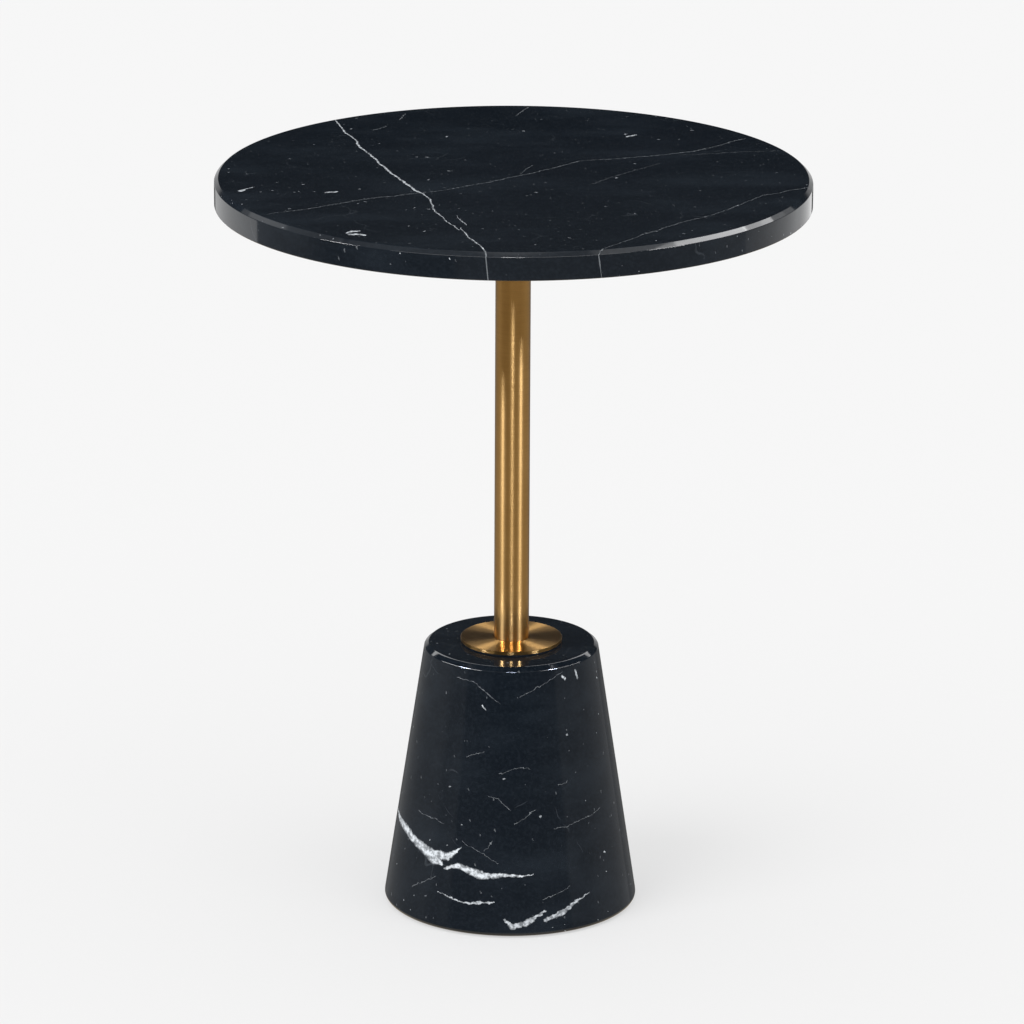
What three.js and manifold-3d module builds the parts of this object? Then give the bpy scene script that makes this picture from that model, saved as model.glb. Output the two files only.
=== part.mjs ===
// Round pedestal side table: a polished stone top and a heavy conical stone base, joined by a
// brass stem. One threaded rod inside the stem draws the base, the stem and the top's
// mounting plate together. Millimetres, +Z up, the floor at z = 0, the stem on the Z axis.
import * as THREE from 'three';
import { mergeVertices } from 'three/addons/utils/BufferGeometryUtils.js';
import Module from 'manifold-3d';

const wasm = await Module();
wasm.setup();

// ---- Driving dimensions ----

// Stone top
const tableHeight = 537;
const topDiameter = 420;
const topThickness = 19.5;
const topChamfer = 3;
const topLowerArris = 0.8;

// Stone base, a truncated cone; both diameters are the cone's own, before its edges are eased
const baseHeight = 192.5;
const baseFootDiameter = 182.5;
const baseShoulderDiameter = 124;
const baseChamfer = 3;
const baseFootRounding = 3.5;
const baseBoreDiameter = 18;
const nutPocketDiameter = 50;
const nutPocketDepth = 22;

// Foot pads, let into the underside of the base
const footPadCount = 4;
const footPadDiameter = 22;
const footPadThickness = 3;
const footPadProud = 1;
const footPadInset = 19;

// Stem and the escutcheon at its foot
const stemDiameter = 25;
const stemWall = 1.5;
const flangeDiameter = 72.5;
const flangeThickness = 2.6;
const flangeArris = 0.5;
const gasketThickness = 0.9;
const gasketSetback = 0.7;

// Bush that centres the stem on the base
const bushShoulderThickness = 2;
const bushSpigotLength = 20;
const bushTailLength = 15;

// Mounting plate, its pad and the boss welded to it
const plateThickness = 4;
const plateEdgeMargin = 15;
const platePadThickness = 1;
const platePadSetback = 3;
const hubCollarStep = 4.5;
const hubCollarHeight = 10;
const hubSpigotLength = 20;
const hubWeldDiameter = 20;

// Screws that hold the plate to the top, their washers and the inserts bonded in the stone
const screwCount = 4;
const screwCircleDiameter = 110;
const screwDiameter = 6;
const screwEngagement = 9.4;
const screwHeadDiameter = 10.5;
const screwHeadHeight = 3.3;
const screwSocketWidth = 4;
const screwSocketDepth = 2;
const screwWasherDiameter = 12;
const screwWasherThickness = 1.6;
const insertWall = 1.5;
const insertLength = 11;
const insertHoleSpare = 1;

// Tie rod with its nut and washers
const rodDiameter = 10;
const rodEngagement = 26;
const rodBelowNut = 3;
const nutWidthFactor = 1.7;
const nutHeightFactor = 0.84;
const springWasherWidth = 3.8;
const springWasherThickness = 2.2;
const springWasherSplit = 1.6;
const anchorWasherDiameter = 44;
const anchorWasherThickness = 4;

// Fits
const threadGap = 0.1;
const slipFit = 0.2;
const flangeFit = 0.15;
const clearanceFit = 0.4;
const bondGap = 0.3;
const padFit = 0.3;

// Facets round a large, a medium and a small turned piece, and along a rounded edge
const largeFacets = 72;
const mediumFacets = 32;
const smallFacets = 16;
const edgeFacets = 3;

// How far a cutting tool runs past the face that it enters
const cutOverrun = 1;

// ---- Levels, worked out from the floor up and from the top down ----

const baseUnderside = footPadProud;
const baseTop = baseUnderside + baseHeight;
const flangeUnderside = baseTop + gasketThickness;
const flangeTop = flangeUnderside + flangeThickness;
const stemBottom = baseTop + bushShoulderThickness;
const topUnderside = tableHeight - topThickness;
const plateTop = topUnderside - platePadThickness;
const plateUnderside = plateTop - plateThickness;
const stemTop = plateUnderside - hubCollarHeight;
const hubSpigotEnd = stemTop - hubSpigotLength;
const pocketCeiling = baseUnderside + nutPocketDepth;
const anchorWasherUnderside = pocketCeiling - anchorWasherThickness;
const springWasherUnderside = anchorWasherUnderside - springWasherThickness;
const nutUnderside = springWasherUnderside - nutHeightFactor * rodDiameter;
const rodBottom = nutUnderside - rodBelowNut;
const rodTop = hubSpigotEnd + rodEngagement;
const footPadTop = footPadThickness;
const screwWasherUnderside = plateUnderside - screwWasherThickness;
const screwHeadUnderside = screwWasherUnderside - screwHeadHeight;
const screwTip = topUnderside + screwEngagement;
const insertTop = topUnderside + insertLength;
const insertHoleEnd = insertTop + insertHoleSpare;

const stemBoreRadius = stemDiameter / 2 - stemWall;
const plateDiameter = screwCircleDiameter + 2 * plateEdgeMargin;
const insertRadius = screwDiameter / 2 + threadGap + insertWall;
const footPadCircleDiameter = baseFootDiameter - 2 * footPadInset;

// ---- Finishes ----

const stone = new THREE.MeshStandardMaterial({ color: 0x1b2227, roughness: 0.12, metalness: 0 });
const antiqueBrass = new THREE.MeshStandardMaterial({ color: 0xa87a42, roughness: 0.35, metalness: 1 });
const plainBrass = new THREE.MeshStandardMaterial({ color: 0xb5924c, roughness: 0.45, metalness: 1 });
const blackCoat = new THREE.MeshStandardMaterial({ color: 0x17181a, roughness: 0.55, metalness: 0 });
const zincSteel = new THREE.MeshStandardMaterial({ color: 0xa9adb0, roughness: 0.4, metalness: 1 });
const rubber = new THREE.MeshStandardMaterial({ color: 0x121212, roughness: 0.85, metalness: 0 });
const nylon = new THREE.MeshStandardMaterial({ color: 0xd8d4c8, roughness: 0.6, metalness: 0 });

// ---- Tools for making shapes ----

// Turns a profile of [radius, height] points about the Z axis.
function turned(profile, facets) {
  const points = profile.map(([radius, height]) => new THREE.Vector2(radius, height));
  return new THREE.LatheGeometry(points, facets).rotateX(Math.PI / 2);
}

// Profile of a plain ring with all four corners eased by the same amount.
function ringProfile(innerRadius, outerRadius, low, high, easing) {
  return [
    [innerRadius + easing, low],
    [outerRadius - easing, low],
    [outerRadius, low + easing],
    [outerRadius, high - easing],
    [outerRadius - easing, high],
    [innerRadius + easing, high],
    [innerRadius, high - easing],
    [innerRadius, low + easing],
    [innerRadius + easing, low],
  ];
}

// Points of an arc about [radius, height], from one angle to another, ends included.
function arcPoints(centreRadius, centreHeight, arcRadius, fromAngle, toAngle) {
  const points = [];
  for (let step = 0; step <= edgeFacets; step += 1) {
    const angle = fromAngle + ((toAngle - fromAngle) * step) / edgeFacets;
    const radius = centreRadius + arcRadius * Math.cos(angle);
    points.push([radius, centreHeight + arcRadius * Math.sin(angle)]);
  }
  return points;
}

// Extrudes a flat shape straight up between two heights.
function extrudedBetween(shape, low, high, facets) {
  const geometry = new THREE.ExtrudeGeometry(shape, { depth: 1, bevelEnabled: false, curveSegments: facets });
  const position = geometry.attributes.position;
  for (let i = 0; i < position.count; i += 1) {
    position.setZ(i, position.getZ(i) > 0.5 ? high : low);
  }
  return geometry;
}

// A round cutting tool standing at x, y between two heights.
function cutter(radius, x, y, low, high, facets) {
  const geometry = new THREE.CylinderGeometry(radius, radius, high - low, facets);
  return geometry.rotateX(Math.PI / 2).translate(x, y, (low + high) / 2);
}

// A hexagon of the given width across its flats.
function hexagon(acrossFlats) {
  const cornerRadius = acrossFlats / 2 / Math.cos(Math.PI / 6);
  const shape = new THREE.Shape();
  for (let corner = 0; corner < 6; corner += 1) {
    const angle = (corner * Math.PI) / 3;
    const x = cornerRadius * Math.cos(angle);
    const y = cornerRadius * Math.sin(angle);
    if (corner === 0) shape.moveTo(x, y);
    else shape.lineTo(x, y);
  }
  shape.closePath();
  return shape;
}

// Places evenly spaced round a circle, starting half a step from the +X axis.
function placesRound(count, circleDiameter) {
  const places = [];
  for (let i = 0; i < count; i += 1) {
    const angle = ((i + 0.5) * 2 * Math.PI) / count;
    const x = (circleDiameter / 2) * Math.cos(angle);
    const y = (circleDiameter / 2) * Math.sin(angle);
    places.push({ x, y });
  }
  return places;
}

// Makes a closed geometry into a solid that can be cut: shared corners are merged, and the
// flattened triangles at a turned piece's poles are dropped.
function toSolid(geometry) {
  const bare = geometry.clone();
  bare.deleteAttribute('normal');
  bare.deleteAttribute('uv');
  const merged = mergeVertices(bare, 1e-5);
  const corners = merged.index.array;
  const kept = [];
  for (let i = 0; i < corners.length; i += 3) {
    const [a, b, c] = [corners[i], corners[i + 1], corners[i + 2]];
    if (a !== b && b !== c && c !== a) kept.push(a, b, c);
  }
  const vertProperties = new Float32Array(merged.attributes.position.array);
  const triVerts = new Uint32Array(kept);
  return new wasm.Manifold(new wasm.Mesh({ numProp: 3, vertProperties, triVerts }));
}

// Makes a cut solid back into a geometry.
function toGeometry(solid) {
  const mesh = solid.getMesh();
  const geometry = new THREE.BufferGeometry();
  geometry.setAttribute('position', new THREE.BufferAttribute(mesh.vertProperties, 3));
  geometry.setIndex(new THREE.BufferAttribute(mesh.triVerts, 1));
  geometry.computeVertexNormals();
  return geometry;
}

// Cuts each tool out of a geometry.
function cutAway(geometry, tools) {
  const solid = tools.reduce((left, tool) => left.subtract(toSolid(tool)), toSolid(geometry));
  return toGeometry(solid);
}

function piece(name, geometry, material, x = 0, y = 0) {
  const mesh = new THREE.Mesh(geometry, material);
  mesh.name = name;
  mesh.position.set(x, y, 0);
  return mesh;
}

// ---- Top: stone slab with four inserts bonded into blind holes ----

function makeTableTop() {
  const radius = topDiameter / 2;
  const slab = turned([
    [0, topUnderside],
    [radius - topLowerArris, topUnderside],
    [radius, topUnderside + topLowerArris],
    [radius, tableHeight - topChamfer],
    [radius - topChamfer, tableHeight],
    [0, tableHeight],
  ], largeFacets);
  const holes = placesRound(screwCount, screwCircleDiameter).map(({ x, y }) =>
    cutter(insertRadius + bondGap, x, y, topUnderside - cutOverrun, insertHoleEnd, smallFacets));
  return piece('table_top', cutAway(slab, holes), stone);
}

function makeInserts() {
  const bore = screwDiameter / 2 + threadGap;
  const easing = insertWall / 4;
  const geometry = turned(ringProfile(bore, insertRadius, topUnderside, insertTop, easing), smallFacets);
  return placesRound(screwCount, screwCircleDiameter).map(({ x, y }, i) =>
    piece(`top_insert_${i + 1}`, geometry, plainBrass, x, y));
}

// ---- Mounting plate, the pad between it and the stone, and the boss under it ----

function discWithHoles(diameter, centreHoleRadius, holeRadius) {
  const shape = new THREE.Shape();
  shape.absarc(0, 0, diameter / 2, 0, 2 * Math.PI, false);
  const centreHole = new THREE.Path();
  centreHole.absarc(0, 0, centreHoleRadius, 0, 2 * Math.PI, true);
  shape.holes.push(centreHole);
  for (const { x, y } of placesRound(screwCount, screwCircleDiameter)) {
    const hole = new THREE.Path();
    hole.absarc(x, y, holeRadius, 0, 2 * Math.PI, true);
    shape.holes.push(hole);
  }
  return shape;
}

function makePlate() {
  const weldHole = hubWeldDiameter / 2 + slipFit;
  const shape = discWithHoles(plateDiameter, weldHole, screwDiameter / 2 + clearanceFit);
  return piece('mounting_plate', extrudedBetween(shape, plateUnderside, plateTop, smallFacets), blackCoat);
}

function makePlatePad() {
  const diameter = plateDiameter - 2 * platePadSetback;
  const centreHole = hubWeldDiameter / 2 + padFit;
  const shape = discWithHoles(diameter, centreHole, screwDiameter / 2 + clearanceFit);
  return piece('plate_pad', extrudedBetween(shape, plateTop, topUnderside, smallFacets), rubber);
}

function makeHub() {
  const threadRadius = rodDiameter / 2 + threadGap;
  const spigotRadius = stemBoreRadius - slipFit;
  const collarRadius = stemDiameter / 2 + hubCollarStep;
  const weldRadius = hubWeldDiameter / 2;
  const collarArris = 1;
  const profile = [
    [threadRadius, hubSpigotEnd],
    [spigotRadius - collarArris, hubSpigotEnd],
    [spigotRadius, hubSpigotEnd + collarArris],
    [spigotRadius, stemTop],
    [collarRadius - collarArris, stemTop],
    [collarRadius, stemTop + collarArris],
    [collarRadius, plateUnderside],
    [weldRadius, plateUnderside],
    [weldRadius, plateTop],
    [threadRadius, plateTop],
    [threadRadius, hubSpigotEnd],
  ];
  return piece('plate_hub', turned(profile, mediumFacets), blackCoat);
}

function makeScrews() {
  const shank = screwDiameter / 2;
  const headRadius = screwHeadDiameter / 2;
  const crownRadius = headRadius * 0.55;
  const tipEasing = shank / 4;
  const rimHeight = screwHeadHeight / 4;
  const solid = turned([
    [0, screwHeadUnderside],
    [crownRadius, screwHeadUnderside],
    [(crownRadius + headRadius) / 2, screwHeadUnderside + rimHeight],
    [headRadius, screwWasherUnderside - rimHeight],
    [headRadius, screwWasherUnderside],
    [shank, screwWasherUnderside],
    [shank, screwTip - tipEasing],
    [shank - tipEasing, screwTip],
    [0, screwTip],
  ], smallFacets);
  const socketEnd = screwHeadUnderside + screwSocketDepth;
  const socketShape = hexagon(screwSocketWidth);
  const socket = extrudedBetween(socketShape, screwHeadUnderside - cutOverrun, socketEnd, smallFacets);
  const geometry = cutAway(solid, [socket]);
  return placesRound(screwCount, screwCircleDiameter).map(({ x, y }, i) =>
    piece(`plate_screw_${i + 1}`, geometry, zincSteel, x, y));
}

function makeScrewWashers() {
  const inner = screwDiameter / 2 + slipFit;
  const outer = screwWasherDiameter / 2;
  const easing = screwWasherThickness / 8;
  const profile = ringProfile(inner, outer, screwWasherUnderside, plateUnderside, easing);
  const geometry = turned(profile, smallFacets);
  return placesRound(screwCount, screwCircleDiameter).map(({ x, y }, i) =>
    piece(`plate_washer_${i + 1}`, geometry, zincSteel, x, y));
}

// ---- Stem tube, the bush in its foot, and the escutcheon with its gasket ----

function makeStem() {
  const easing = stemWall / 6;
  const profile = ringProfile(stemBoreRadius, stemDiameter / 2, stemBottom, stemTop, easing);
  return piece('stem_tube', turned(profile, mediumFacets), antiqueBrass);
}

function makeBush() {
  const boreRadius = rodDiameter / 2 + clearanceFit;
  const tailRadius = baseBoreDiameter / 2 - slipFit;
  const spigotRadius = stemBoreRadius - slipFit;
  const shoulderRadius = stemDiameter / 2;
  const profile = [
    [boreRadius, baseTop - bushTailLength],
    [tailRadius, baseTop - bushTailLength],
    [tailRadius, baseTop],
    [shoulderRadius, baseTop],
    [shoulderRadius, stemBottom],
    [spigotRadius, stemBottom],
    [spigotRadius, stemBottom + bushSpigotLength],
    [boreRadius, stemBottom + bushSpigotLength],
    [boreRadius, baseTop - bushTailLength],
  ];
  return piece('stem_bush', turned(profile, mediumFacets), nylon);
}

function makeFlange() {
  const inner = stemDiameter / 2 + flangeFit;
  const outer = flangeDiameter / 2;
  const profile = [
    [inner, flangeUnderside],
    [outer - flangeArris, flangeUnderside],
    [outer, flangeUnderside + flangeArris],
    [outer, flangeTop - flangeArris],
    [outer - flangeArris, flangeTop],
    [inner, flangeTop],
    [inner, flangeUnderside],
  ];
  return piece('base_flange', turned(profile, largeFacets), antiqueBrass);
}

function makeGasket() {
  const inner = stemDiameter / 2 + clearanceFit;
  const outer = flangeDiameter / 2 - gasketSetback;
  const profile = ringProfile(inner, outer, baseTop, flangeUnderside, 0.1);
  return piece('flange_gasket', turned(profile, mediumFacets), rubber);
}

// ---- Base: stone cone with a through bore, a nut pocket and recesses for the pads ----

function makeBase() {
  const footRadius = baseFootDiameter / 2;
  const shoulderRadius = baseShoulderDiameter / 2;
  const lean = Math.atan2(footRadius - shoulderRadius, baseHeight);
  // The foot's rounding is tangent to the underside and to the leaning side.
  const arcHeight = baseUnderside + baseFootRounding;
  const sideAtArc = footRadius - baseFootRounding * Math.tan(lean);
  const arcCentre = sideAtArc - baseFootRounding / Math.cos(lean);
  const rounding = arcPoints(arcCentre, arcHeight, baseFootRounding, -Math.PI / 2, lean);
  const belowChamfer = shoulderRadius + baseChamfer * Math.tan(lean);
  const boreRadius = baseBoreDiameter / 2;
  const pocketRadius = nutPocketDiameter / 2;
  const cone = turned([
    [pocketRadius, baseUnderside],
    ...rounding,
    [belowChamfer, baseTop - baseChamfer],
    [shoulderRadius - baseChamfer, baseTop],
    [boreRadius, baseTop],
    [boreRadius, pocketCeiling],
    [pocketRadius, pocketCeiling],
    [pocketRadius, baseUnderside],
  ], largeFacets);
  const recesses = placesRound(footPadCount, footPadCircleDiameter).map(({ x, y }) =>
    cutter(footPadDiameter / 2 + padFit, x, y, baseUnderside - cutOverrun, footPadTop, smallFacets));
  return piece('base', cutAway(cone, recesses), stone);
}

function makeFootPads() {
  const radius = footPadDiameter / 2;
  const easing = footPadProud / 2;
  const geometry = turned([
    [0, 0],
    [radius - easing, 0],
    [radius, easing],
    [radius, footPadTop],
    [0, footPadTop],
  ], smallFacets);
  return placesRound(footPadCount, footPadCircleDiameter).map(({ x, y }, i) =>
    piece(`foot_pad_${i + 1}`, geometry, rubber, x, y));
}

// ---- Tie rod, with its washers and nut in the pocket under the base ----

function makeTieRod() {
  const radius = rodDiameter / 2;
  const easing = rodDiameter / 8;
  const profile = [
    [0, rodBottom],
    [radius - easing, rodBottom],
    [radius, rodBottom + easing],
    [radius, rodTop - easing],
    [radius - easing, rodTop],
    [0, rodTop],
  ];
  return piece('tie_rod', turned(profile, smallFacets), zincSteel);
}

function makeAnchorWasher() {
  const inner = rodDiameter / 2 + clearanceFit;
  const outer = anchorWasherDiameter / 2;
  const easing = anchorWasherThickness / 10;
  const profile = ringProfile(inner, outer, anchorWasherUnderside, pocketCeiling, easing);
  return piece('anchor_washer', turned(profile, mediumFacets), zincSteel);
}

function makeSpringWasher() {
  const inner = rodDiameter / 2 + slipFit;
  const outer = inner + springWasherWidth;
  const halfSplit = springWasherSplit / 2 / inner;
  const shape = new THREE.Shape();
  shape.absarc(0, 0, outer, halfSplit, 2 * Math.PI - halfSplit, false);
  shape.absarc(0, 0, inner, 2 * Math.PI - halfSplit, halfSplit, true);
  shape.closePath();
  const geometry = extrudedBetween(shape, springWasherUnderside, anchorWasherUnderside, mediumFacets);
  return piece('spring_washer', geometry, zincSteel);
}

function makeNut() {
  const acrossFlats = nutWidthFactor * rodDiameter;
  const prism = extrudedBetween(hexagon(acrossFlats), nutUnderside, springWasherUnderside, smallFacets);
  const cornerRadius = acrossFlats / 2 / Math.cos(Math.PI / 6);
  const cornerRise = (cornerRadius - acrossFlats / 2) * Math.tan(Math.PI / 6);
  const eased = turned([
    [0, nutUnderside],
    [acrossFlats / 2, nutUnderside],
    [cornerRadius, nutUnderside + cornerRise],
    [cornerRadius, springWasherUnderside - cornerRise],
    [acrossFlats / 2, springWasherUnderside],
    [0, springWasherUnderside],
  ], mediumFacets);
  const threadRadius = rodDiameter / 2 + threadGap;
  const low = nutUnderside - cutOverrun;
  const high = springWasherUnderside + cutOverrun;
  const thread = cutter(threadRadius, 0, 0, low, high, smallFacets);
  const solid = toSolid(prism).intersect(toSolid(eased)).subtract(toSolid(thread));
  return piece('tie_nut', toGeometry(solid), zincSteel);
}

// ---- The table ----

const topAssembly = new THREE.Group();
topAssembly.add(makeTableTop(), ...makeInserts());
topAssembly.add(makePlatePad(), makePlate(), makeHub(), ...makeScrewWashers(), ...makeScrews());

const stemAssembly = new THREE.Group();
stemAssembly.add(makeStem(), makeBush(), makeFlange(), makeGasket());

const baseAssembly = new THREE.Group();
baseAssembly.add(makeBase(), ...makeFootPads());
baseAssembly.add(makeTieRod(), makeAnchorWasher(), makeSpringWasher(), makeNut());

const table = new THREE.Group();
table.add(topAssembly, stemAssembly, baseAssembly);

export default table;
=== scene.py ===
import math
import bpy
from mathutils import Matrix, Vector


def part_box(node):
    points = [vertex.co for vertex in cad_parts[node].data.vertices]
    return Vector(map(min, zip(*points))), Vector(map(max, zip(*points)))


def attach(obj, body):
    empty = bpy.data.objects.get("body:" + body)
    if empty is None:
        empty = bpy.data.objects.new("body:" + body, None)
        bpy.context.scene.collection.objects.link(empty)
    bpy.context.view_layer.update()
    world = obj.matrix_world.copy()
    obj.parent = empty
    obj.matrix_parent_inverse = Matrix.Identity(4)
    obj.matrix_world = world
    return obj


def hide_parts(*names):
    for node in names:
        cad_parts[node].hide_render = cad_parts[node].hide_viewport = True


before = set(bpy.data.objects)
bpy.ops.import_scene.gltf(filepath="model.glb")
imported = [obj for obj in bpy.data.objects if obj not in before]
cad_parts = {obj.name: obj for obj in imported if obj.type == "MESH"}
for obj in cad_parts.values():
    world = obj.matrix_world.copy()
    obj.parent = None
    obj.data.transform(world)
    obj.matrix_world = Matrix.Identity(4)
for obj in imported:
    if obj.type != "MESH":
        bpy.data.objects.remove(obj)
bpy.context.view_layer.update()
bpy.ops.object.select_all(action="DESELECT")


# ---- The stone base ----
# A heavy truncated cone of polished black marble with white calcite veins, turned on a lathe,
# bored through for the tie rod, with a pocket underneath for the nut and recesses for the pads.

def cut_round(piece, radius, centre, low, high, corners=64):
    """Drills a round hole, or a hexagonal one with six corners, into a piece."""
    middle = (centre[0], centre[1], (low + high) / 2)
    bpy.ops.mesh.primitive_cylinder_add(
        vertices=corners, radius=radius, depth=high - low, location=middle)
    drill = bpy.context.object
    bpy.context.view_layer.objects.active = piece
    hole = piece.modifiers.new("hole", "BOOLEAN")
    hole.operation = "DIFFERENCE"
    hole.object = drill
    bpy.ops.object.modifier_apply(modifier=hole.name)
    bpy.data.objects.remove(drill)


def pick(piece, kind, test):
    """Opens a piece for editing with only the edges or faces whose every corner passes the test."""
    bpy.ops.object.mode_set(mode="OBJECT")
    bpy.ops.object.select_all(action="DESELECT")
    bpy.context.view_layer.objects.active = piece
    piece.select_set(True)
    mesh = piece.data
    for part in (*mesh.vertices, *mesh.edges, *mesh.polygons):
        part.select = False
    for part in getattr(mesh, kind):
        part.select = all(test(mesh.vertices[i].co) for i in part.vertices)
    bpy.context.tool_settings.mesh_select_mode = (False, kind == "edges", kind == "polygons")
    bpy.ops.object.mode_set(mode="EDIT")


def ease(piece, radius, height, width, steps):
    """Rounds, or with one step chamfers, the round edge at a radius and height."""
    near = 0.0002

    def on_edge(corner):
        return abs(corner.xy.length - radius) < near and abs(corner.z - height) < near

    pick(piece, "edges", on_edge)
    bpy.ops.mesh.bevel(offset=width, offset_type="OFFSET", segments=steps, affect="EDGES")
    bpy.ops.object.mode_set(mode="OBJECT")


def turned_blank(name, foot_radius, head_radius, low, high, corners):
    """A round blank standing between two heights, with its place in its mesh."""
    bpy.ops.mesh.primitive_cone_add(
        vertices=corners, radius1=foot_radius, radius2=head_radius, depth=high - low,
        end_fill_type="NGON", location=(0, 0, (low + high) / 2))
    piece = bpy.context.object
    piece.name = name
    bpy.ops.object.transform_apply(location=True, rotation=True, scale=True)
    return piece


def bore(piece, radius, low, high):
    """Opens a hole of the given radius through the flat faces at two heights."""
    for height in (low, high):
        pick(piece, "polygons", lambda corner: abs(corner.z - height) < 1e-6)
        ring = max(v.co.xy.length for v in piece.data.vertices if abs(v.co.z - height) < 1e-6)
        bpy.ops.mesh.inset(thickness=ring - radius)
        bpy.ops.object.mode_set(mode="OBJECT")
    wall = radius + 0.0002
    pick(piece, "polygons", lambda corner: corner.xy.length < wall
         and min(abs(corner.z - low), abs(corner.z - high)) < 1e-6)
    bpy.ops.mesh.bridge_edge_loops()
    bpy.ops.object.mode_set(mode="OBJECT")


def finish_piece(piece, material, slot, *nodes):
    """Smooths a piece, gives it its material, and puts it in its CAD nodes' place."""
    bpy.ops.object.mode_set(mode="OBJECT")
    bpy.ops.object.select_all(action="DESELECT")
    bpy.context.view_layer.objects.active = piece
    piece.select_set(True)
    bpy.ops.object.shade_smooth_by_angle(angle=math.radians(40))
    even = piece.modifiers.new("even", "WEIGHTED_NORMAL")
    even.keep_sharp = True
    bpy.ops.object.modifier_apply(modifier=even.name)
    piece.select_set(False)
    piece.data.materials.clear()
    piece.data.materials.append(material)
    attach(piece, "root")
    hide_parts(*nodes)


class Finish:
    """A material being built: adds nodes, and joins each socket or value that it is given."""

    def __init__(self, name):
        self.material = bpy.data.materials.new(name)
        self.material.use_nodes = True
        self.nodes = self.material.node_tree.nodes
        self.links = self.material.node_tree.links
        self.shader = self.nodes["Principled BSDF"]

    def add(self, kind, *inputs, **settings):
        node = self.nodes.new(kind)
        for key, value in settings.items():
            setattr(node, key, value)
        for place, value in enumerate(inputs):
            if isinstance(value, bpy.types.NodeSocket):
                self.links.new(value, node.inputs[place])
            elif value is not None:
                node.inputs[place].default_value = value
        return node

    def math(self, operation, *inputs, clamp=False):
        return self.add("ShaderNodeMath", *inputs, operation=operation, use_clamp=clamp).outputs[0]

    def vector(self, operation, *inputs):
        return self.add("ShaderNodeVectorMath", *inputs, operation=operation).outputs[0]

    def where(self):
        return self.add("ShaderNodeTexCoord").outputs["Object"]

    def stretched(self, place, scale):
        return self.vector("MULTIPLY", place, scale)

    def noise(self, place, scale, detail=3.0, roughness=0.5):
        node = self.add("ShaderNodeTexNoise")
        self.links.new(place, node.inputs["Vector"])
        node.inputs["Scale"].default_value = scale
        node.inputs["Detail"].default_value = detail
        node.inputs["Roughness"].default_value = roughness
        return node

    def cells(self, place, scale, feature="F1"):
        node = self.add("ShaderNodeTexVoronoi", feature=feature)
        self.links.new(place, node.inputs["Vector"])
        node.inputs["Scale"].default_value = scale
        return node

    def remap(self, value, low, high, to_low, to_high):
        node = self.add("ShaderNodeMapRange", value, low, high, to_low, to_high)
        node.interpolation_type = "SMOOTHSTEP"
        return node.outputs[0]

    def blend(self, share, first, second):
        node = self.add("ShaderNodeMix", data_type="RGBA")
        for socket, value in (("Factor_Float", share), ("A_Color", first), ("B_Color", second)):
            entry = next(s for s in node.inputs if s.identifier == socket)
            if isinstance(value, bpy.types.NodeSocket):
                self.links.new(value, entry)
            else:
                entry.default_value = value
        return next(s for s in node.outputs if s.identifier == "Result_Color")

    def bump(self, height, strength, distance):
        node = self.add("ShaderNodeBump")
        node.inputs["Strength"].default_value = strength
        node.inputs["Distance"].default_value = distance
        self.links.new(height, node.inputs["Height"])
        self.links.new(node.outputs[0], self.shader.inputs["Normal"])

    def set(self, socket, value):
        if isinstance(value, bpy.types.NodeSocket):
            self.links.new(value, self.shader.inputs[socket])
        else:
            self.shader.inputs[socket].default_value = value


def vein_nearness(finish, place, route):
    """How near each point is to a vein: 0 on its middle line and 1 at its edge.

    A route is a list of (x, y, half width) in metres along the middle line.
    """
    nearest = None
    for (x0, y0, half0), (x1, y1, half1) in zip(route, route[1:]):
        start = (x0, y0, 0)
        run = Vector((x1 - x0, y1 - y0, 0))
        from_start = finish.vector("SUBTRACT", place, start)
        along = finish.add("ShaderNodeVectorMath", from_start, run / run.length_squared,
                           operation="DOT_PRODUCT").outputs["Value"]
        along = finish.math("ADD", along, 0.0, clamp=True)
        foot = finish.add("ShaderNodeVectorMath", run, operation="SCALE")
        finish.links.new(along, foot.inputs["Scale"])
        off = finish.add("ShaderNodeVectorMath", from_start, foot.outputs[0],
                         operation="DISTANCE").outputs["Value"]
        half = finish.math("MULTIPLY_ADD", along, half1 - half0, half0)
        share = finish.math("DIVIDE", off, half)
        nearest = share if nearest is None else finish.math("MINIMUM", nearest, share)
    return nearest


def nudged(finish, place, noise, reach):
    """Moves each place by a noise colour, up to half the reach each way."""
    push = finish.vector("SUBTRACT", noise, (0.5, 0.5, 0.5))
    return finish.vector("ADD", place, finish.vector("SCALE", push, None, None, reach))


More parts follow.
